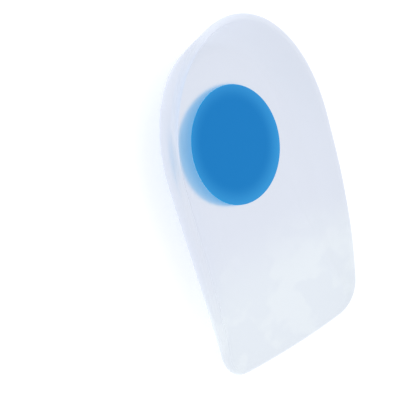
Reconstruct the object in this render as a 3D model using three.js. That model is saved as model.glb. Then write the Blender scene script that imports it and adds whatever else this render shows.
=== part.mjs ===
// A silicone heel cup with a soft gel pad set into its seat, lying on its flat base.
// Millimetres, +Z up, the heel towards +Y and the toe edge towards -Y.
// The origin is on the floor, under the middle of the cup's length and width.
import * as THREE from "three";

// Outline of the rim, seen from above
const CUP_LENGTH = 110.4; // back of the heel to the middle of the toe edge
const RIM_WIDTH = 63.6; // widest, where the round heel ends
const TOE_WIDTH = 59.2; // over the sides, just before the toe corners
const HEEL_ROUND = 43.4; // length of the half-oval heel end
const TOE_CORNER_RADIUS = 9.2;
const TOE_BULGE = 0.8; // how far the middle of the toe edge stands past its corners

// Walls
const HEEL_HEIGHT = 20; // rim height at the back of the heel
const TOE_THICKNESS = 2.6; // rim height at the toe edge, where the walls have run out
const RIM_THICKNESS = 2.2; // the rim is rounded over this width
const LOW_WALL_SHARE = 0.9; // where the wall is low, its roundings take no more of it than this
const WALL_LEAN = THREE.MathUtils.degToRad(24); // the outer wall leans out by this much
const BASE_EDGE_RADIUS = 3.5; // rounding between the flat base and the outer wall
const WALL_CURVE = 1.9; // power of the inner wall's sweep up from the seat to the rim

// Seat and its gel pad
const SEAT_THICKNESS = 6; // silicone under the heel, from the base to the seat
const PAD_LENGTH = 37.8; // over the top edge, as the width is
const PAD_WIDTH = 35.2;
const PAD_FROM_HEEL = 41; // middle of the pad, from the back of the rim
const PAD_THICKNESS = 4.8;
const PAD_FLARE = 2.6; // how far the foot of the pad reaches out under the seat, at its two sides
const PAD_CROWN = 0.4; // how far the middle of the pad stands above the seat
const PAD_EDGE_RADIUS = 0.5;
const PAD_CLEARANCE = 0.3; // between the pad and its pocket, at the side and below

// Sections along the cup. at: share of the length, from the back of the heel to the toe edge.
// rim: rim height, as a share of the drop from the heel height to the toe thickness.
// seat: height of the seat beside the walls, as a share of the drop from the seat thickness
// to the toe thickness. band: width of the inner wall's sweep, as a share of half the rim width.
const SECTIONS = [
  { at: 0.0, rim: 1.0, seat: 1.3, band: 0.31 },
  { at: 0.12, rim: 0.89, seat: 1.2, band: 0.27 },
  { at: 0.28, rim: 0.77, seat: 1.08, band: 0.28 },
  { at: 0.42, rim: 0.69, seat: 1.0, band: 0.37 },
  { at: 0.58, rim: 0.6, seat: 0.95, band: 0.4 },
  { at: 0.75, rim: 0.44, seat: 0.55, band: 0.26 },
  { at: 0.88, rim: 0.25, seat: 0.24, band: 0.12 },
  { at: 0.95, rim: 0.11, seat: 0.1, band: 0.05 },
  { at: 1.0, rim: 0.0, seat: 0.0, band: 0.03 },
];

// How finely the surfaces are divided
const HEEL_STEPS = 18; // each half of the round heel
const SIDE_STEPS = 14; // each side
const CORNER_STEPS = 8; // each toe corner
const TOE_STEPS = 4; // each half of the toe edge
const EDGE_STEPS = 4; // rounding of the base edge
const RIM_STEPS = 6; // rounding of the rim
const SWEEP_STEPS = 8; // inner wall, from the rim to the seat
const SEAT_STEPS = 3; // seat, from the walls to the pocket
const CROWN_STEPS = 4; // top of the pad

const HALF_LENGTH = CUP_LENGTH / 2;
const HALF_WIDTH = RIM_WIDTH / 2;
const PAD_CENTRE_Y = HALF_LENGTH - PAD_FROM_HEEL;

// A smooth curve through one column of the sections, at a share of the length.
function sectionValue(column, at) {
  const curve = SECTIONS.map((row) => new THREE.Vector2(row.at, row[column]));
  const next = Math.max(1, curve.findIndex((point) => point.x >= at));
  const [before, after] = [curve[next - 1], curve[next]];
  const slopeAt = (index) => {
    const low = curve[Math.max(0, index - 1)];
    const high = curve[Math.min(curve.length - 1, index + 1)];
    return (high.y - low.y) / (high.x - low.x);
  };
  const run = after.x - before.x;
  const s = THREE.MathUtils.clamp((at - before.x) / run, 0, 1);
  const [s2, s3] = [s * s, s * s * s];
  return (
    (2 * s3 - 3 * s2 + 1) * before.y +
    (s3 - 2 * s2 + s) * run * slopeAt(next - 1) +
    (3 * s2 - 2 * s3) * after.y +
    (s3 - s2) * run * slopeAt(next)
  );
}

// The right half of the rim's outline, from the toe edge round to the back of the heel.
function rightHalfOutline() {
  const points = [];
  const cornerX = TOE_WIDTH / 2 - TOE_CORNER_RADIUS;
  const cornerY = -HALF_LENGTH + TOE_BULGE + TOE_CORNER_RADIUS;
  for (let i = 0; i < TOE_STEPS; i++) {
    const share = (i + 0.5) / (TOE_STEPS + 0.5);
    points.push(new THREE.Vector2(cornerX * share, -HALF_LENGTH + TOE_BULGE * share * share));
  }
  for (let i = 0; i <= CORNER_STEPS; i++) {
    const angle = ((i / CORNER_STEPS - 1) * Math.PI) / 2;
    points.push(
      new THREE.Vector2(
        cornerX + TOE_CORNER_RADIUS * Math.cos(angle),
        cornerY + TOE_CORNER_RADIUS * Math.sin(angle),
      ),
    );
  }
  const heelY = HALF_LENGTH - HEEL_ROUND;
  for (let i = 1; i < SIDE_STEPS; i++) {
    const share = 1 - i / SIDE_STEPS;
    const half = HALF_WIDTH + (TOE_WIDTH / 2 - HALF_WIDTH) * share * share;
    points.push(new THREE.Vector2(half, heelY + (cornerY - heelY) * share));
  }
  for (let i = 0; i < HEEL_STEPS; i++) {
    const angle = ((i / (HEEL_STEPS - 0.5)) * Math.PI) / 2;
    points.push(new THREE.Vector2(HALF_WIDTH * Math.cos(angle), heelY + HEEL_ROUND * Math.sin(angle)));
  }
  return points;
}

// The whole outline, anticlockwise from above, each point with its outward direction, its share
// of the length and the wall's sizes there.
function rimOutline() {
  const right = rightHalfOutline();
  const left = right.map((point) => new THREE.Vector2(-point.x, point.y)).reverse();
  const points = [...right, ...left];
  return points.map((point, i) => {
    const before = points.at(i - 1);
    const after = points[(i + 1) % points.length];
    const along = after.clone().sub(before).normalize();
    const at = THREE.MathUtils.clamp((HALF_LENGTH - point.y) / CUP_LENGTH, 0, 1);
    return {
      place: point,
      outward: new THREE.Vector2(along.y, -along.x),
      rim: TOE_THICKNESS + (HEEL_HEIGHT - TOE_THICKNESS) * sectionValue("rim", at),
      seat: TOE_THICKNESS + (SEAT_THICKNESS - TOE_THICKNESS) * sectionValue("seat", at),
      band: HALF_WIDTH * sectionValue("band", at),
    };
  });
}

// The wall's section at one place on the outline: out is measured from the rim's outermost line,
// up from the base. It runs from the flat base over the rim to the edge of the seat.
function wallProfile({ rim, seat, band }) {
  const profile = [];
  const rimRadius = Math.min(RIM_THICKNESS, rim * LOW_WALL_SHARE) / 2;
  const rimOut = -rimRadius;
  const rimUp = rim - rimRadius;
  const wallTopOut = rimOut + rimRadius * Math.cos(WALL_LEAN);
  const wallTopUp = rimUp - rimRadius * Math.sin(WALL_LEAN);
  const footShare = 1 - Math.sin(WALL_LEAN); // how high the base edge's arc reaches, in radii
  const edgeRadius = Math.min(BASE_EDGE_RADIUS, (LOW_WALL_SHARE * wallTopUp) / footShare);
  const wallFootUp = edgeRadius * footShare;
  const wallFootOut = wallTopOut - Math.tan(WALL_LEAN) * (wallTopUp - wallFootUp);
  const edgeOut = wallFootOut - edgeRadius * Math.cos(WALL_LEAN);
  for (let i = 0; i <= EDGE_STEPS; i++) {
    const angle = THREE.MathUtils.lerp(-Math.PI / 2, -WALL_LEAN, i / EDGE_STEPS);
    profile.push({ out: edgeOut + edgeRadius * Math.cos(angle), up: edgeRadius * (1 + Math.sin(angle)) });
  }
  const sweepSlope = Math.atan2(WALL_CURVE * Math.max(0, rimUp - seat), band);
  for (let i = 0; i <= RIM_STEPS; i++) {
    const angle = THREE.MathUtils.lerp(-WALL_LEAN, Math.PI / 2 + sweepSlope, i / RIM_STEPS);
    profile.push({ out: rimOut + rimRadius * Math.cos(angle), up: rimUp + rimRadius * Math.sin(angle) });
  }
  const top = profile.at(-1);
  for (let i = 1; i <= SWEEP_STEPS; i++) {
    const left = 1 - i / SWEEP_STEPS;
    profile.push({ out: top.out - band * (1 - left), up: seat + (top.up - seat) * left ** WALL_CURVE });
  }
  return profile;
}

// The wall's rings, from the flat base over the rim to the edge of the seat.
function wallRings() {
  const outline = rimOutline();
  const profiles = outline.map(wallProfile);
  return profiles[0].map((_, step) =>
    outline.map(({ place, outward }, i) => {
      const { out, up } = profiles[i][step];
      return new THREE.Vector3(place.x + outward.x * out, place.y + outward.y * out, up);
    }),
  );
}

// Points round an oval that is as large as the pad at one height plus a margin: one in the
// direction of each point of the seat's edge, so that the lines between them don't cross.
function padRing(seatEdge, margin, height) {
  const depth = Math.max(0, SEAT_THICKNESS - height);
  const halfWidth = PAD_WIDTH / 2 + margin + (PAD_FLARE * depth) / PAD_THICKNESS;
  const halfLength = PAD_LENGTH / 2 + margin;
  return seatEdge.map(({ x, y }) => {
    const angle = Math.atan2((y - PAD_CENTRE_Y) / PAD_LENGTH, x / PAD_WIDTH);
    return new THREE.Vector3(halfWidth * Math.cos(angle), PAD_CENTRE_Y + halfLength * Math.sin(angle), height);
  });
}

// A closed body: a point below, rings from the outside of the bottom round to the inside of the
// top, and a point that closes them.
function closedBody(first, rings, last) {
  const count = rings[0].length;
  const points = [first, ...rings.flat(), last];
  const index = [];
  const at = (ring, i) => 1 + ring * count + (i % count);
  for (let i = 0; i < count; i++) {
    index.push(0, at(0, i + 1), at(0, i));
    for (let ring = 0; ring + 1 < rings.length; ring++) {
      index.push(at(ring, i), at(ring, i + 1), at(ring + 1, i + 1));
      index.push(at(ring, i), at(ring + 1, i + 1), at(ring + 1, i));
    }
    index.push(points.length - 1, at(rings.length - 1, i), at(rings.length - 1, i + 1));
  }
  const geometry = new THREE.BufferGeometry().setFromPoints(points);
  geometry.setIndex(index);
  geometry.computeVertexNormals();
  return geometry;
}

// The cup: walls lofted round the outline, a seat that runs in to the pocket, and the pocket.
function cupGeometry() {
  const rings = wallRings();
  const seatEdge = rings.at(-1);
  const pocketEdge = padRing(seatEdge, PAD_CLEARANCE, SEAT_THICKNESS);
  for (let i = 1; i < SEAT_STEPS; i++) {
    rings.push(seatEdge.map((point, k) => point.clone().lerp(pocketEdge[k], i / SEAT_STEPS)));
  }
  rings.push(pocketEdge);
  const pocketFloor = SEAT_THICKNESS - PAD_THICKNESS - PAD_CLEARANCE;
  rings.push(padRing(seatEdge, PAD_CLEARANCE, pocketFloor));
  return closedBody(
    new THREE.Vector3(0, PAD_CENTRE_Y, 0),
    rings,
    new THREE.Vector3(0, PAD_CENTRE_Y, pocketFloor),
  );
}

// The gel pad: an oval plug whose sides widen downwards, with rounded edges and a crowned top.
function padGeometry() {
  const seatEdge = wallRings().at(-1);
  const bottom = SEAT_THICKNESS - PAD_THICKNESS;
  const rings = [
    padRing(seatEdge, -PAD_EDGE_RADIUS, bottom),
    padRing(seatEdge, 0, bottom + PAD_EDGE_RADIUS),
    padRing(seatEdge, 0, SEAT_THICKNESS - PAD_EDGE_RADIUS),
  ];
  for (let i = 0; i < CROWN_STEPS; i++) {
    const share = i / CROWN_STEPS;
    const inset = PAD_EDGE_RADIUS + (PAD_WIDTH / 2 - PAD_EDGE_RADIUS) * share;
    rings.push(padRing(seatEdge, -inset, SEAT_THICKNESS + PAD_CROWN * (1 - (1 - share) ** 2)));
  }
  return closedBody(
    new THREE.Vector3(0, PAD_CENTRE_Y, bottom),
    rings,
    new THREE.Vector3(0, PAD_CENTRE_Y, SEAT_THICKNESS + PAD_CROWN),
  );
}

function namedMesh(name, geometry, finish) {
  const mesh = new THREE.Mesh(geometry, new THREE.MeshStandardMaterial(finish));
  mesh.name = name;
  return mesh;
}

const heelCup = new THREE.Group();
heelCup.name = "heel_cup";
heelCup.add(
  namedMesh("cup_shell", cupGeometry(), { color: 0xdde3f1, roughness: 0.35, metalness: 0 }),
  namedMesh("heel_pad", padGeometry(), { color: 0x207dc3, roughness: 0.4, metalness: 0 }),
);

export default heelCup;
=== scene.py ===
import math

import bmesh
import bpy
from mathutils import Matrix, Vector


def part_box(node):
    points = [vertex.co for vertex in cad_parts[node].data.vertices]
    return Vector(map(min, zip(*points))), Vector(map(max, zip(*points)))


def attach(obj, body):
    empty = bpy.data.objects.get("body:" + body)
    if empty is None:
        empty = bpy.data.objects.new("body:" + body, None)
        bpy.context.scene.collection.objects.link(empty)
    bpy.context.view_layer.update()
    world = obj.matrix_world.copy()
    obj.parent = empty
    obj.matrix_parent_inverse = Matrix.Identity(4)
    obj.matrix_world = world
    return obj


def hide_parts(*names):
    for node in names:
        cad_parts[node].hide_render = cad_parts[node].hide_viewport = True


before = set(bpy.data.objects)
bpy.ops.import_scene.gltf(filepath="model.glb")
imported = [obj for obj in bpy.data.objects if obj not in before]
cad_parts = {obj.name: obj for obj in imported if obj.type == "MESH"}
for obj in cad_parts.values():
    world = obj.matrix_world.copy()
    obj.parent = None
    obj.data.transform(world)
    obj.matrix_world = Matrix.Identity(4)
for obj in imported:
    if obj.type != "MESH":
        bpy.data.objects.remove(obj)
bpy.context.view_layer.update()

bl_info = {
    "name": "Heel cup",
    "version": (1, 0, 0),
    "blender": (4, 5, 0),
    "location": "View3D > Sidebar > Heel cup",
    "description": "A milky silicone heel cup with a soft gel pad, lying on a pale studio floor",
    "category": "Object",
}

CUP_LOW, CUP_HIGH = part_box("cup_shell")
PAD_LOW, PAD_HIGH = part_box("heel_pad")

# Outline of the rim, seen from above. All lengths in this file are in metres.
HALF_LENGTH = (CUP_HIGH.y - CUP_LOW.y) / 2
HALF_WIDTH = (CUP_HIGH.x - CUP_LOW.x) / 2
HALF_TOE = 0.0296  # half the width over the sides, just before the toe corners
HEEL_ROUND = 0.0434  # length of the half-oval heel end
HEEL_ROUND_START = HALF_LENGTH - HEEL_ROUND
TOE_CORNER = 0.0092  # radius of the toe corners
TOE_BULGE = 0.0008  # how far the middle of the toe edge stands past its corners

# Walls and seat
HEEL_HEIGHT = CUP_HIGH.z
TOE_THICKNESS = 0.0026
RIM_THICKNESS = 0.0022
LOW_WALL_SHARE = 0.9  # where the wall is low, its roundings take no more of it than this
WALL_LEAN = math.radians(24)  # the outer wall leans out by this much
BASE_EDGE = 0.0035  # rounding between the flat base and the outer wall
WALL_CURVE = 1.9  # power of the inner wall's sweep up from the seat to the rim
SEAT_THICKNESS = 0.006
BASE_RING_SHARE = 0.5  # where a ring divides the flat base, on the way to its middle

# The pad. In the solid it is widest just above the rounding of its foot, so the width of its
# top edge is its box without the part of the flare that it has there.
PAD_FLARE = 0.0026  # how far the foot of the pad reaches out under the seat, at its two sides
PAD_THICKNESS = SEAT_THICKNESS - PAD_LOW.z
PAD_CENTRE = Vector(((PAD_LOW.x + PAD_HIGH.x) / 2, (PAD_LOW.y + PAD_HIGH.y) / 2, SEAT_THICKNESS))
SOLID_PAD_EDGE = 0.0005
WIDEST_SHARE = 1 - SOLID_PAD_EDGE / PAD_THICKNESS
PAD_HALF_WIDTH = (PAD_HIGH.x - PAD_LOW.x) / 2 - PAD_FLARE * WIDEST_SHARE
PAD_HALF_LENGTH = (PAD_HIGH.y - PAD_LOW.y) / 2

# How the pad sits in its pocket
PAD_EDGE = 0.00015  # rounding of the pad's edges
LIP_EDGE = 0.00006  # rounding of the pocket's lip
EDGE_HOLD = 3  # a ring this many roundings away keeps the smoothed edge tight
PAD_GAP = 0.00004
POCKET_REACH = 2 * PAD_GAP  # a face of the cup that is as near as this is in the pocket
UNDER_POCKET = PAD_LOW.z / 2  # halfway down the silicone under the pad
BONDED_SLOT = 1

# Sections along the cup. at: share of the length, from the back of the heel to the toe edge.
# rim: rim height, as a share of the drop from the heel height to the toe thickness.
# seat: height of the seat beside the walls, as a share of the drop from the seat thickness
# to the toe thickness. band: width of the inner wall's sweep, as a share of half the rim width.
SECTIONS = (
    {"at": 0.0, "rim": 1.0, "seat": 1.3, "band": 0.31},
    {"at": 0.12, "rim": 0.89, "seat": 1.2, "band": 0.27},
    {"at": 0.28, "rim": 0.77, "seat": 1.08, "band": 0.28},
    {"at": 0.42, "rim": 0.69, "seat": 1.0, "band": 0.37},
    {"at": 0.58, "rim": 0.6, "seat": 0.95, "band": 0.4},
    {"at": 0.75, "rim": 0.44, "seat": 0.55, "band": 0.26},
    {"at": 0.88, "rim": 0.25, "seat": 0.24, "band": 0.12},
    {"at": 0.95, "rim": 0.11, "seat": 0.1, "band": 0.05},
    {"at": 1.0, "rim": 0.0, "seat": 0.0, "band": 0.03},
)

# The silicone turns from thin and pale to thick between these two places along the cup
THIN_FROM = -0.035
THICK_FROM = -0.010

# The fine grain of the moulded skin, and the faint clouds in the silicone
GRAIN_SIZE = 0.0004
GRAIN_DEPTH = 0.0003
CLOUD_SIZE = 0.012
CLOUD_SHARE = 0.7  # of the skin's height
CLOUD_RANGE = (0.48, 0.58)  # values of the noise between which a cloud begins and is full

# The inner side of the walls, marked on the cup's vertices, where a dimmer glow paints shade on
# the walls
INNER_WALL = "inner_wall"
INNER_WALL_RISE = 0.003  # height above the seat over which the mark comes in

# The painted light along the edge of the pad's top, which is wider towards the toe and the right
PAINTED_LIGHT_EDGE_END = 1.1  # where it is lightest, as a share of the pad's half width
PAINTED_LIGHT_EDGE_SHIFT = Vector((-0.0008, 0.0008))
ANY_HEIGHT = 1e3  # makes an oval's reach the same at all heights

# The stage
FLOOR_SIZE = 6.0
FLOOR_DROP = 0.0001
KEY_PLACE = (0.35, 0.45, 0.7)
KEY_SIZE = 0.6
NEAREST_VIEW = 0.01
BLACK = (0.0, 0.0, 0.0)
WHITE = (1.0, 1.0, 1.0)

# How finely the surfaces are divided
HEEL_STEPS = 36  # each half of the round heel
SIDE_STEPS = 26  # each side
CORNER_STEPS = 10  # each toe corner
TOE_STEPS = 9  # each half of the toe edge
BASE_STEPS = 5  # rounding of the base edge
RIM_STEPS = 9  # rounding of the rim
SWEEP_STEPS = 14  # inner wall, from the rim to the seat
SEAT_STEPS = 6  # seat, from the walls to the pocket
CROWN_STEPS = 12  # top of the pad
ROUNDING_LEVELS = 1


class CupSettings(bpy.types.PropertyGroup):
    """The cup's silicone."""

    heel_colour: bpy.props.FloatVectorProperty(
        name="Heel colour",
        description="Colour of the thick silicone round the heel",
        subtype="COLOR",
        default=(0.80, 0.835, 0.915),
        min=0.0,
        max=1.0,
    )
    toe_colour: bpy.props.FloatVectorProperty(
        name="Toe colour",
        description="Colour of the thin silicone at the toe edge",
        subtype="COLOR",
        default=(0.84, 0.885, 0.935),
        min=0.0,
        max=1.0,
    )
    cloud_colour: bpy.props.FloatVectorProperty(
        name="Cloud colour",
        description="Colour of the faint clouds in the thin silicone",
        subtype="COLOR",
        default=(0.89, 0.935, 0.965),
        min=0.0,
        max=1.0,
    )
    heel_glow: bpy.props.FloatVectorProperty(
        name="Heel glow",
        description="Light scattered inside the thick silicone",
        subtype="COLOR",
        default=(0.79, 0.82, 0.885),
        min=0.0,
        max=1.0,
    )
    toe_glow: bpy.props.FloatVectorProperty(
        name="Toe glow",
        description="Light scattered inside the thin silicone",
        subtype="COLOR",
        default=(0.82, 0.855, 0.905),
        min=0.0,
        max=1.0,
    )
    # Painted shade: a dimmer, bluer glow on the inner side of the walls, which darkens the walls
    # as seen from outside
    wall_shade_glow: bpy.props.FloatVectorProperty(
        name="Wall glow",
        description="Light scattered inside the walls, as seen from outside",
        subtype="COLOR",
        default=(0.50, 0.62, 0.80),
        min=0.0,
        max=1.0,
    )
    clearness: bpy.props.FloatProperty(
        name="Clearness",
        description="Share of the light that passes into the silicone",
        subtype="FACTOR",
        default=0.8,
        min=0.0,
        max=1.0,
    )
    roughness: bpy.props.FloatProperty(
        name="Roughness",
        description="How frosted the moulded skin is",
        subtype="FACTOR",
        default=0.8,
        min=0.0,
        max=1.0,
    )
    sheen: bpy.props.FloatProperty(
        name="Sheen",
        description="How strongly the moulded skin reflects light",
        subtype="FACTOR",
        default=0.25,
        min=0.0,
        max=1.0,
    )
    refraction: bpy.props.FloatProperty(
        name="Index of refraction",
        description="How strongly the silicone bends light",
        default=1.12,
        min=1.0,
        max=2.0,
    )
    grain: bpy.props.FloatProperty(
        name="Grain",
        description="How strongly the fine grain of the mould shows",
        subtype="FACTOR",
        default=0.1,
        min=0.0,
        max=1.0,
    )


class PadSettings(bpy.types.PropertyGroup):
    """The gel pad."""

    colour: bpy.props.FloatVectorProperty(
        name="Gel colour",
        description="Colour of the gel at the middle of the pad",
        subtype="COLOR",
        default=(0.005, 0.195, 0.53),
        min=0.0,
        max=1.0,
    )
    # Painted light: a lighter edge on the pad's top, widest towards the toe and the right, as if
    # light fell there
    painted_light_edge_colour: bpy.props.FloatVectorProperty(
        name="Edge colour",
        description="Colour of the thinner gel along the pad's edge",
        subtype="COLOR",
        default=(0.035, 0.31, 0.68),
        min=0.0,
        max=1.0,
    )
    flank_colour: bpy.props.FloatVectorProperty(
        name="Flank colour",
        description="Colour of the flank next to the pad's edge, seen through the silicone",
        subtype="COLOR",
        default=(0.01, 0.32, 0.62),
        min=0.0,
        max=1.0,
    )
    flank_glow: bpy.props.FloatProperty(
        name="Flank glow",
        description="Light that the milky silicone scatters onto the flank",
        default=0.25,
        min=0.0,
    )
    foot_colour: bpy.props.FloatVectorProperty(
        name="Foot colour",
        description="Colour of the flank's foot, seen through the silicone",
        subtype="COLOR",
        default=(0.20, 0.47, 0.68),
        min=0.0,
        max=1.0,
    )
    crown: bpy.props.FloatProperty(
        name="Crown",
        description="How far the middle of the pad stands above the seat",
        subtype="DISTANCE",
        unit="LENGTH",
        default=PAD_HIGH.z - SEAT_THICKNESS,
        min=0.0,
        precision=5,
    )
    edge_width: bpy.props.FloatProperty(
        name="Edge width",
        description="Width of the lighter edge, as a share of the pad's half width",
        subtype="FACTOR",
        default=0.4,
        min=0.0,
        max=1.0,
    )
    roughness: bpy.props.FloatProperty(
        name="Roughness",
        description="How satin the gel's skin is",
        subtype="FACTOR",
        default=0.5,
        min=0.0,
        max=1.0,
    )
    sheen: bpy.props.FloatProperty(
        name="Sheen",
        description="How strongly the gel's skin reflects light",
        subtype="FACTOR",
        default=0.12,
        min=0.0,
        max=1.0,
    )
    grain: bpy.props.FloatProperty(
        name="Grain",
        description="How strongly the fine grain of the mould shows",
        subtype="FACTOR",
        default=0.1,
        min=0.0,
        max=1.0,
    )


class StageSettings(bpy.types.PropertyGroup):
    """The floor, the lights and the camera."""

    floor_colour: bpy.props.FloatVectorProperty(
        name="Floor colour",
        description="Colour of the studio floor",
        subtype="COLOR",
        default=(0.98, 0.98, 0.98),
        min=0.0,
        max=1.0,
    )
    floor_glow: bpy.props.FloatProperty(
        name="Floor glow",
        description="Light that the studio floor gives off, which keeps the shadow faint",
        default=0.15,
        min=0.0,
    )
    fill: bpy.props.FloatProperty(
        name="Fill light",
        description="Strength of the even white light from all round",
        default=0.95,
        min=0.0,
    )
    key: bpy.props.FloatProperty(
        name="Key light",
        description="Power of the large soft light above the heel",
        subtype="POWER",
        unit="POWER",
        default=1.2,
        min=0.0,
    )
    azimuth: bpy.props.FloatProperty(
        name="Camera azimuth",
        description="Direction of the view round the cup; 0 looks along +Y",
        subtype="ANGLE",
        unit="ROTATION",
        default=math.radians(-114.22),
    )
    elevation: bpy.props.FloatProperty(
        name="Camera elevation",
        description="Height of the view above the floor",
        subtype="ANGLE",
        unit="ROTATION",
        default=math.radians(51.48),
    )
    roll: bpy.props.FloatProperty(
        name="Camera roll",
        description="Turn of the picture about the line of sight",
        subtype="ANGLE",
        unit="ROTATION",
        default=math.radians(90.73),
    )
    distance: bpy.props.FloatProperty(
        name="Camera distance",
        description="Distance from the camera to its aim",
        subtype="DISTANCE",
        unit="LENGTH",
        default=0.664,
    )
    aim: bpy.props.FloatVectorProperty(
        name="Camera aim",
        description="The point in the middle of the picture",
        subtype="TRANSLATION",
        unit="LENGTH",
        default=(-0.01454, 0.00185, -0.00147),
        precision=5,
    )
    lens: bpy.props.FloatProperty(
        name="Focal length",
        description="Focal length of the lens on a 36 mm sensor, in millimetres",
        default=193.1,
    )


def activate(piece):
    """Makes one object the only selected and the active one."""
    bpy.ops.object.select_all(action="DESELECT")
    piece.select_set(True)
    bpy.context.view_layer.objects.active = piece


def blend(low, high, share):
    """The value at a share of the way from low to high."""
    return low + (high - low) * share


def section_value(column, at):
    """A smooth cubic curve through one column of the sections, at a share of the length."""
    places = [row["at"] for row in SECTIONS]
    values = [row[column] for row in SECTIONS]
    after = next((i for i, place in enumerate(places) if place >= at and i > 0), len(places) - 1)
    before = after - 1

    def slope(index):
        low = max(0, index - 1)
        high = min(len(places) - 1, index + 1)
        return (values[high] - values[low]) / (places[high] - places[low])

    run = places[after] - places[before]
    s = min(1.0, max(0.0, (at - places[before]) / run))
    s2 = s * s
    s3 = s2 * s
    return (
        (2 * s3 - 3 * s2 + 1) * values[before]
        + (s3 - 2 * s2 + s) * run * slope(before)
        + (3 * s2 - 2 * s3) * values[after]
        + (s3 - s2) * run * slope(after)
    )


def right_half_outline():
    """The right half of the rim's outline, from the toe edge round to the back of the heel. Its
    ends stand half a step from the middle line, where the left half begins."""
    corner = Vector((HALF_TOE - TOE_CORNER, -HALF_LENGTH + TOE_BULGE + TOE_CORNER))
    points = []
    for i in range(TOE_STEPS):
        share = (i + 0.5) / (TOE_STEPS + 0.5)
        points.append(Vector((corner.x * share, -HALF_LENGTH + TOE_BULGE * share**2)))
    for i in range(CORNER_STEPS + 1):
        angle = (i / CORNER_STEPS - 1) * math.pi / 2
        points.append(corner + TOE_CORNER * Vector((math.cos(angle), math.sin(angle))))
    for i in range(1, SIDE_STEPS):
        share = 1 - i / SIDE_STEPS
        half = blend(HALF_WIDTH, HALF_TOE, share**2)
        points.append(Vector((half, blend(HEEL_ROUND_START, corner.y, share))))
    for i in range(HEEL_STEPS):
        angle = i / (HEEL_STEPS - 0.5) * math.pi / 2
        y = HEEL_ROUND_START + HEEL_ROUND * math.sin(angle)
        points.append(Vector((HALF_WIDTH * math.cos(angle), y)))
    return points


def wall_profile(rim, seat, band):
    """The wall's section, as (out, up) from the flat base over the rim to the edge of the seat.
    Out is measured from the rim's outermost line, and up from the base."""
    rim_radius = min(RIM_THICKNESS, rim * LOW_WALL_SHARE) / 2
    rim_up = rim - rim_radius
    top_out = rim_radius * math.cos(WALL_LEAN) - rim_radius
    top_up = rim_up - rim_radius * math.sin(WALL_LEAN)
    foot_share = 1 - math.sin(WALL_LEAN)
    edge = min(BASE_EDGE, LOW_WALL_SHARE * top_up / foot_share)
    foot_out = top_out - math.tan(WALL_LEAN) * (top_up - edge * foot_share)
    edge_out = foot_out - edge * math.cos(WALL_LEAN)
    profile = []
    for i in range(BASE_STEPS + 1):
        angle = blend(-math.pi / 2, -WALL_LEAN, i / BASE_STEPS)
        profile.append((edge_out + edge * math.cos(angle), edge * (1 + math.sin(angle))))
    sweep_slope = math.atan2(WALL_CURVE * max(0.0, rim_up - seat), band)
    for i in range(RIM_STEPS + 1):
        angle = blend(-WALL_LEAN, math.pi / 2 + sweep_slope, i / RIM_STEPS)
        profile.append(
            (rim_radius * (math.cos(angle) - 1), rim_up + rim_radius * math.sin(angle))
        )
    last_out, last_up = profile[-1]
    for i in range(1, SWEEP_STEPS + 1):
        left = 1 - i / SWEEP_STEPS
        profile.append((last_out - band * (1 - left), blend(seat, last_up, left**WALL_CURVE)))
    return profile


def rim_outline():
    """The whole outline of the rim, from the middle of the toe edge round by the right."""
    right = right_half_outline()
    return right + [Vector((-point.x, point.y)) for point in reversed(right)]


def wall_rings():
    """The wall's rings of points, from the flat base over the rim to the edge of the seat."""
    outline = rim_outline()
    columns = []
    for i, point in enumerate(outline):
        along = (outline[(i + 1) % len(outline)] - outline[i - 1]).normalized()
        outward = Vector((along.y, -along.x))
        at = (HALF_LENGTH - point.y) / (2 * HALF_LENGTH)
        profile = wall_profile(
            blend(TOE_THICKNESS, HEEL_HEIGHT, section_value("rim", at)),
            blend(TOE_THICKNESS, SEAT_THICKNESS, section_value("seat", at)),
            HALF_WIDTH * section_value("band", at),
        )
        columns.append([(*(point + outward * out), up) for out, up in profile])
    return [[Vector(point) for point in ring] for ring in zip(*columns)]


def pad_half_width(height):
    """Half the pad's width at one height: its sides widen downwards from the seat."""
    depth = max(0.0, SEAT_THICKNESS - height)
    return PAD_HALF_WIDTH + PAD_FLARE * depth / PAD_THICKNESS


def pad_ring(margin, height):
    """Points round an oval that is as large as the pad at one height plus a margin: one in the
    direction of each point of the rim, so that the lines between them don't cross."""
    half_width = pad_half_width(height) + margin
    half_length = PAD_HALF_LENGTH + margin
    points = []
    for point in rim_outline():
        place = point - PAD_CENTRE.xy
        angle = math.atan2(place.y / PAD_HALF_LENGTH, place.x / PAD_HALF_WIDTH)
        x = PAD_CENTRE.x + half_width * math.cos(angle)
        y = PAD_CENTRE.y + half_length * math.sin(angle)
        points.append(Vector((x, y, height)))
    return points


def cup_rings():
    """The cup's rings, from inside the flat base over the rim and the seat into the pocket."""
    rings = wall_rings()
    base_edge, seat_edge = rings[0], rings[-1]
    base_centre = Vector((PAD_CENTRE.x, PAD_CENTRE.y, 0.0))
    inner_base = [point.lerp(base_centre, BASE_RING_SHARE) for point in base_edge]
    shoulder = pad_ring(PAD_GAP + EDGE_HOLD * LIP_EDGE, SEAT_THICKNESS)
    for i in range(1, SEAT_STEPS + 1):
        rings.append([a.lerp(b, i / SEAT_STEPS) for a, b in zip(seat_edge, shoulder)])
    floor = PAD_LOW.z - PAD_GAP
    pocket = [
        pad_ring(PAD_GAP + LIP_EDGE, SEAT_THICKNESS),
        pad_ring(PAD_GAP, SEAT_THICKNESS - LIP_EDGE),
        pad_ring(PAD_GAP, SEAT_THICKNESS - EDGE_HOLD * LIP_EDGE),
        pad_ring(PAD_GAP, (SEAT_THICKNESS + floor) / 2),
        pad_ring(PAD_GAP, floor + LIP_EDGE),
        pad_ring(PAD_GAP - LIP_EDGE, floor),
    ]
    return [inner_base, *rings, *pocket]


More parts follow.
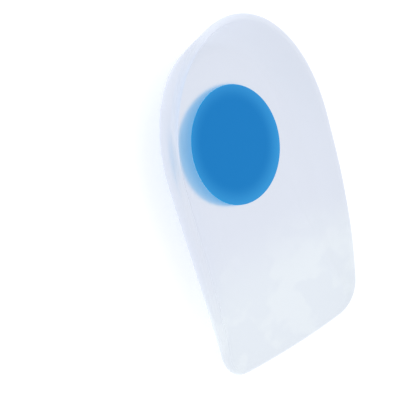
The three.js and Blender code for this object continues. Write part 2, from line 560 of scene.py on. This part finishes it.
def pad_rings(crown):
    """The pad's rings, from its flat foot up the flank to the top of its crown."""
    foot = PAD_LOW.z
    rings = [
        pad_ring(-PAD_EDGE, foot),
        pad_ring(0.0, foot + PAD_EDGE),
        pad_ring(0.0, (SEAT_THICKNESS + foot) / 2),
        pad_ring(0.0, SEAT_THICKNESS - EDGE_HOLD * PAD_EDGE),
        pad_ring(0.0, SEAT_THICKNESS - PAD_EDGE),
        pad_ring(-PAD_EDGE, SEAT_THICKNESS),
    ]
    insets = [EDGE_HOLD * PAD_EDGE]
    insets += [PAD_HALF_WIDTH * i / CROWN_STEPS for i in range(1, CROWN_STEPS)]
    for inset in insets:
        left = 1 - inset / PAD_HALF_WIDTH
        rings.append(pad_ring(-inset, SEAT_THICKNESS + crown * (1 - left**2)))
    return rings


def place_selected(piece, ring):
    """Moves each selected vertex to its own place in a ring of points."""
    mesh = bmesh.from_edit_mesh(piece.data)
    number = mesh.verts.layers.int["number"]
    for vertex in mesh.verts:
        if vertex.select:
            vertex.co = ring[vertex[number]]
    bmesh.update_edit_mesh(piece.data)


def loft(name, rings):
    """A skin drawn up through rings of points, ring by ring, from a circle."""
    bpy.ops.object.select_all(action="DESELECT")
    bpy.ops.mesh.primitive_circle_add(vertices=len(rings[0]), fill_type="NOTHING")
    piece = bpy.context.active_object
    piece.name = name
    piece.data.name = name
    number = piece.data.attributes.new("number", "INT", "POINT")
    number.data.foreach_set("value", range(len(rings[0])))
    bpy.ops.object.mode_set(mode="EDIT")
    bpy.ops.mesh.select_all(action="SELECT")
    place_selected(piece, rings[0])
    for ring in rings[1:]:
        bpy.ops.mesh.extrude_edges_indiv()
        place_selected(piece, ring)
    bpy.ops.object.mode_set(mode="OBJECT")
    piece.data.attributes.remove(piece.data.attributes["number"])
    return piece


def round_and_close(piece):
    """Rounds a skin with a subdivision surface, and closes it at both ends. The ends are closed
    last, because a subdivision surface is very slow on a face of so many sides."""
    activate(piece)
    modifier = piece.modifiers.new("Rounding", "SUBSURF")
    modifier.levels = ROUNDING_LEVELS
    modifier.render_levels = ROUNDING_LEVELS
    bpy.ops.object.modifier_apply(modifier=modifier.name)
    bpy.ops.object.mode_set(mode="EDIT")
    bpy.ops.mesh.select_all(action="SELECT")
    bpy.ops.mesh.fill_holes(sides=0)
    bpy.ops.mesh.normals_make_consistent(inside=False)
    bpy.ops.mesh.select_all(action="DESELECT")
    bpy.ops.object.mode_set(mode="OBJECT")
    bpy.ops.object.shade_smooth()


def in_pocket(place):
    """Whether a place on the cup's skin is on the floor or the flank of the pad's pocket."""
    across = (place.x - PAD_CENTRE.x) / (pad_half_width(place.z) + POCKET_REACH)
    along = (place.y - PAD_CENTRE.y) / (PAD_HALF_LENGTH + POCKET_REACH)
    return math.hypot(across, along) < 1 and UNDER_POCKET < place.z < SEAT_THICKNESS - LIP_EDGE


def bond_pocket(piece):
    """Gives the faces of the pad's pocket the slot of the bonded face."""
    for face in piece.data.polygons:
        if in_pocket(face.center):
            face.material_index = BONDED_SLOT


def mark_inner_wall(piece):
    """Writes on each vertex how far the skin there is the inner side of a wall, from 0 on the
    seat, the rim and the outside to 1 on a steep wall that faces the cup's middle."""
    # The mark places the dimmer glow that paints shade on the walls
    marks = piece.data.attributes.new(INNER_WALL, "FLOAT", "POINT").data
    for vertex, mark in zip(piece.data.vertices, marks):
        outward = vertex.co.xy - Vector((0.0, min(vertex.co.y, HEEL_ROUND_START)))
        facing = -vertex.normal.xy.dot(outward.normalized())
        above_seat = (vertex.co.z - SEAT_THICKNESS) / INNER_WALL_RISE
        mark.value = max(0.0, facing) * min(max(above_seat, 0.0), 1.0)


def skin_group():
    """The fine grain of a moulded skin and the soft clouds in it, as a height and a mask."""
    group = bpy.data.node_groups.get("Moulded skin")
    if group:
        return group
    group = bpy.data.node_groups.new("Moulded skin", "ShaderNodeTree")
    inputs = (
        ("Grain size", GRAIN_SIZE),
        ("Cloud size", CLOUD_SIZE),
        ("Cloud share", CLOUD_SHARE),
    )
    for name, default in inputs:
        made = group.interface.new_socket(name, in_out="INPUT", socket_type="NodeSocketFloat")
        made.default_value = default
    for name in ("Height", "Cloud"):
        group.interface.new_socket(name, in_out="OUTPUT", socket_type="NodeSocketFloat")
    nodes, link = group.nodes, group.links.new
    inlet = nodes.new("NodeGroupInput")
    outlet = nodes.new("NodeGroupOutput")
    place = nodes.new("ShaderNodeTexCoord")
    patterns = {}
    for name in ("Grain size", "Cloud size"):
        scale = nodes.new("ShaderNodeMath")
        scale.operation = "DIVIDE"
        scale.inputs[0].default_value = 1.0
        link(inlet.outputs[name], scale.inputs[1])
        noise = nodes.new("ShaderNodeTexNoise")
        link(place.outputs["Object"], noise.inputs["Vector"])
        link(scale.outputs[0], noise.inputs["Scale"])
        patterns[name] = noise.outputs["Fac"]
    height = nodes.new("ShaderNodeMix")
    link(inlet.outputs["Cloud share"], height.inputs["Factor"])
    link(patterns["Grain size"], height.inputs["A"])
    link(patterns["Cloud size"], height.inputs["B"])
    link(height.outputs["Result"], outlet.inputs["Height"])
    link(patterns["Cloud size"], outlet.inputs["Cloud"])
    return group


def mixed(nodes, link, share, low, high):
    """A colour between two others, each a colour or a socket, at a share from a socket."""
    mix = nodes.new("ShaderNodeMix")
    mix.data_type = "RGBA"
    link(share, mix.inputs["Factor"])
    for socket, colour in (("A", low), ("B", high)):
        if isinstance(colour, bpy.types.NodeSocket):
            link(colour, mix.inputs[socket])
        else:
            mix.inputs[socket].default_value = (*colour, 1.0)
    return mix.outputs["Result"]


def object_axes(nodes, link):
    """The X, Y and Z of a place on the piece, as the outputs of one node."""
    place = nodes.new("ShaderNodeTexCoord")
    split = nodes.new("ShaderNodeSeparateXYZ")
    link(place.outputs["Object"], split.inputs[0])
    return split.outputs


def oval_reach(nodes, link, centre, half):
    """How far a place is from the middle of an oval, where 1 is on the oval's edge."""
    place = nodes.new("ShaderNodeTexCoord")
    oval = nodes.new("ShaderNodeMapping")
    oval.vector_type = "TEXTURE"
    oval.inputs["Location"].default_value = (*centre, 0.0)
    oval.inputs["Scale"].default_value = (*half, ANY_HEIGHT)
    link(place.outputs["Object"], oval.inputs["Vector"])
    reach = nodes.new("ShaderNodeVectorMath")
    reach.operation = "LENGTH"
    link(oval.outputs["Vector"], reach.inputs[0])
    return reach.outputs["Value"]


def smooth_share(nodes, link, value, start, end):
    """A share that rises smoothly from 0 to 1 as a socket's value goes from start to end."""
    rise = nodes.new("ShaderNodeMapRange")
    rise.interpolation_type = "SMOOTHSTEP"
    rise.inputs["From Min"].default_value = start
    rise.inputs["From Max"].default_value = end
    link(value, rise.inputs["Value"])
    return rise.outputs["Result"]


def moulded_skin(nodes, link, shader, strength):
    """Gives a shader the grain of the moulded skin, and returns the skin's node."""
    skin = nodes.new("ShaderNodeGroup")
    skin.node_tree = skin_group()
    bump = nodes.new("ShaderNodeBump")
    bump.inputs["Strength"].default_value = strength
    bump.inputs["Distance"].default_value = GRAIN_DEPTH
    link(skin.outputs["Height"], bump.inputs["Height"])
    link(bump.outputs["Normal"], shader.inputs["Normal"])
    return skin


def silicone_material(cup):
    """Milky silicone, paler where it is thin. Light that enters it ends on the inner side of
    the skin, which gives off the even glow of the silicone's own depth, except on the inner
    side of the walls, where a dimmer, bluer glow paints shade on the walls."""
    material = bpy.data.materials.new("Milky silicone")
    material.use_nodes = True
    nodes, link = material.node_tree.nodes, material.node_tree.links.new
    shader = nodes["Principled BSDF"]
    shader.inputs["Roughness"].default_value = cup.roughness
    shader.inputs["IOR"].default_value = cup.refraction
    shader.inputs["Transmission Weight"].default_value = cup.clearness
    shader.inputs["Specular IOR Level"].default_value = cup.sheen
    shader.inputs["Emission Strength"].default_value = 1.0
    skin = moulded_skin(nodes, link, shader, cup.grain)
    along = object_axes(nodes, link)["Y"]
    heel = smooth_share(nodes, link, along, THIN_FROM, THICK_FROM)
    cloud = smooth_share(nodes, link, skin.outputs["Cloud"], *CLOUD_RANGE)
    inner_side = nodes.new("ShaderNodeNewGeometry").outputs["Backfacing"]
    toe = mixed(nodes, link, cloud, cup.toe_colour, cup.cloud_colour)
    colour = mixed(nodes, link, heel, toe, cup.heel_colour)
    link(mixed(nodes, link, inner_side, colour, BLACK), shader.inputs["Base Color"])
    # Painted shade: where the inner-wall mark is set, the glow is dimmer and darkens the walls
    # as seen from outside
    wall = nodes.new("ShaderNodeAttribute")
    wall.attribute_name = INNER_WALL
    seat_glow = mixed(nodes, link, heel, cup.toe_glow, cup.heel_glow)
    glow = mixed(nodes, link, wall.outputs["Fac"], seat_glow, cup.wall_shade_glow)
    link(mixed(nodes, link, inner_side, BLACK, glow), shader.inputs["Emission Color"])
    return material


def bonded_material():
    """Where the silicone is bonded to the gel, there is no surface to see."""
    material = bpy.data.materials.new("Bonded face")
    material.use_nodes = True
    material.node_tree.nodes["Principled BSDF"].inputs["Alpha"].default_value = 0.0
    return material


def gel_material(pad):
    """Even blue gel, with painted light along the edge of the pad's top, and paler down its
    flank, where there is more and more milky silicone over it."""
    material = bpy.data.materials.new("Blue gel")
    material.use_nodes = True
    nodes, link = material.node_tree.nodes, material.node_tree.links.new
    shader = nodes["Principled BSDF"]
    shader.inputs["Roughness"].default_value = pad.roughness
    shader.inputs["Specular IOR Level"].default_value = pad.sheen
    shader.inputs["Emission Strength"].default_value = pad.flank_glow
    moulded_skin(nodes, link, shader, pad.grain)
    # Painted light along the pad's edge: the oval is shifted, so the lighter edge is wider
    # towards the toe and the right
    centre = PAD_CENTRE.xy + PAINTED_LIGHT_EDGE_SHIFT
    reach = oval_reach(nodes, link, centre, (PAD_HALF_WIDTH, PAD_HALF_LENGTH))
    edge = smooth_share(nodes, link, reach, PAINTED_LIGHT_EDGE_END - pad.edge_width, PAINTED_LIGHT_EDGE_END)
    height = object_axes(nodes, link)["Z"]
    flank_top = SEAT_THICKNESS - PAD_EDGE
    under = smooth_share(nodes, link, height, SEAT_THICKNESS, flank_top)
    depth = smooth_share(nodes, link, height, flank_top, PAD_LOW.z)
    top = mixed(nodes, link, edge, pad.colour, pad.painted_light_edge_colour)
    flank = mixed(nodes, link, depth, pad.flank_colour, pad.foot_colour)
    link(mixed(nodes, link, under, top, flank), shader.inputs["Base Color"])
    link(mixed(nodes, link, under, BLACK, flank), shader.inputs["Emission Color"])
    return material


class HEELCUP_OT_shell(bpy.types.Operator):
    """Make the silicone cup"""

    bl_idname = "heelcup.shell"
    bl_label = "Make the cup"
    bl_options = {"REGISTER", "UNDO"}

    def execute(self, context):
        piece = loft("silicone_cup", cup_rings())
        round_and_close(piece)
        piece.data.materials.append(silicone_material(context.scene.heelcup_cup))
        piece.data.materials.append(bonded_material())
        bond_pocket(piece)
        mark_inner_wall(piece)
        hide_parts("cup_shell")
        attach(piece, "root")
        return {"FINISHED"}


class HEELCUP_OT_pad(bpy.types.Operator):
    """Make the gel pad"""

    bl_idname = "heelcup.pad"
    bl_label = "Make the gel pad"
    bl_options = {"REGISTER", "UNDO"}

    def execute(self, context):
        piece = loft("gel_pad", pad_rings(context.scene.heelcup_pad.crown))
        round_and_close(piece)
        piece.data.materials.append(gel_material(context.scene.heelcup_pad))
        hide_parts("heel_pad")
        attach(piece, "root")
        return {"FINISHED"}


def make_floor(stage):
    """A wide matte floor just under the cup."""
    bpy.ops.object.select_all(action="DESELECT")
    bpy.ops.mesh.primitive_plane_add(size=FLOOR_SIZE, location=(0.0, 0.0, -FLOOR_DROP))
    floor = bpy.context.active_object
    floor.name = "floor"
    bpy.ops.object.transform_apply(location=True, rotation=True, scale=True)
    material = bpy.data.materials.new("Matte floor")
    material.use_nodes = True
    shader = material.node_tree.nodes["Principled BSDF"]
    shader.inputs["Base Color"].default_value = (*stage.floor_colour, 1.0)
    shader.inputs["Roughness"].default_value = 1.0
    shader.inputs["Specular IOR Level"].default_value = 0.0
    shader.inputs["Emission Color"].default_value = (*WHITE, 1.0)
    shader.inputs["Emission Strength"].default_value = stage.floor_glow
    floor.data.materials.append(material)


def make_lights(stage):
    """Even white light from all round, and one large soft light."""
    world = bpy.data.worlds.new("Studio")
    world.use_nodes = True
    background = world.node_tree.nodes["Background"]
    background.inputs["Color"].default_value = (*WHITE, 1.0)
    background.inputs["Strength"].default_value = stage.fill
    bpy.context.scene.world = world
    bpy.ops.object.light_add(type="AREA", location=KEY_PLACE)
    light = bpy.context.active_object
    light.name = "key_light"
    light.data.size = KEY_SIZE
    light.data.energy = stage.key
    light.rotation_mode = "QUATERNION"
    light.rotation_quaternion = (-light.location).to_track_quat("-Z", "Y")


def make_camera(stage):
    """The camera at the photograph's angle to the cup."""
    back = Vector(
        (
            math.sin(stage.azimuth) * math.cos(stage.elevation),
            -math.cos(stage.azimuth) * math.cos(stage.elevation),
            math.sin(stage.elevation),
        )
    )
    bpy.ops.object.camera_add(location=Vector(stage.aim) + back * stage.distance)
    camera = bpy.context.active_object
    camera.name = "camera"
    camera.data.lens = stage.lens
    camera.data.clip_start = NEAREST_VIEW
    turn = (-back).to_track_quat("-Z", "Y").to_matrix() @ Matrix.Rotation(stage.roll, 3, "Z")
    camera.rotation_mode = "QUATERNION"
    camera.rotation_quaternion = turn.to_quaternion()
    bpy.context.scene.camera = camera


class HEELCUP_OT_stage(bpy.types.Operator):
    """Make the floor, the lights and the camera"""

    bl_idname = "heelcup.stage"
    bl_label = "Make the stage"
    bl_options = {"REGISTER", "UNDO"}

    def execute(self, context):
        stage = context.scene.heelcup_stage
        make_floor(stage)
        make_lights(stage)
        make_camera(stage)
        context.scene.view_settings.view_transform = "Standard"
        return {"FINISHED"}


class HEELCUP_PT_panel(bpy.types.Panel):
    """The heel cup's sizes, colours and steps"""

    bl_idname = "HEELCUP_PT_panel"
    bl_label = "Heel cup"
    bl_space_type = "VIEW_3D"
    bl_region_type = "UI"
    bl_category = "Heel cup"

    def draw(self, context):
        layout = self.layout
        steps = (
            ("heelcup_cup", HEELCUP_OT_shell),
            ("heelcup_pad", HEELCUP_OT_pad),
            ("heelcup_stage", HEELCUP_OT_stage),
        )
        for settings_name, step in steps:
            box = layout.box()
            settings = getattr(context.scene, settings_name)
            for name in settings.__annotations__:
                box.prop(settings, name)
            box.operator(step.bl_idname)


CLASSES = (
    CupSettings,
    PadSettings,
    StageSettings,
    HEELCUP_OT_shell,
    HEELCUP_OT_pad,
    HEELCUP_OT_stage,
    HEELCUP_PT_panel,
)
SETTINGS = {
    "heelcup_cup": CupSettings,
    "heelcup_pad": PadSettings,
    "heelcup_stage": StageSettings,
}


def register():
    """Registers the classes, and gives the scene its settings."""
    for made in CLASSES:
        bpy.utils.register_class(made)
    for name, group in SETTINGS.items():
        setattr(bpy.types.Scene, name, bpy.props.PointerProperty(type=group))


def unregister():
    """Takes the settings and the classes away again."""
    for name in SETTINGS:
        delattr(bpy.types.Scene, name)
    for made in reversed(CLASSES):
        bpy.utils.unregister_class(made)


def main():
    """Makes the pieces and the stage."""
    register()
    bpy.ops.heelcup.shell()
    bpy.ops.heelcup.pad()
    bpy.ops.heelcup.stage()


if __name__ == "__main__":
    main()
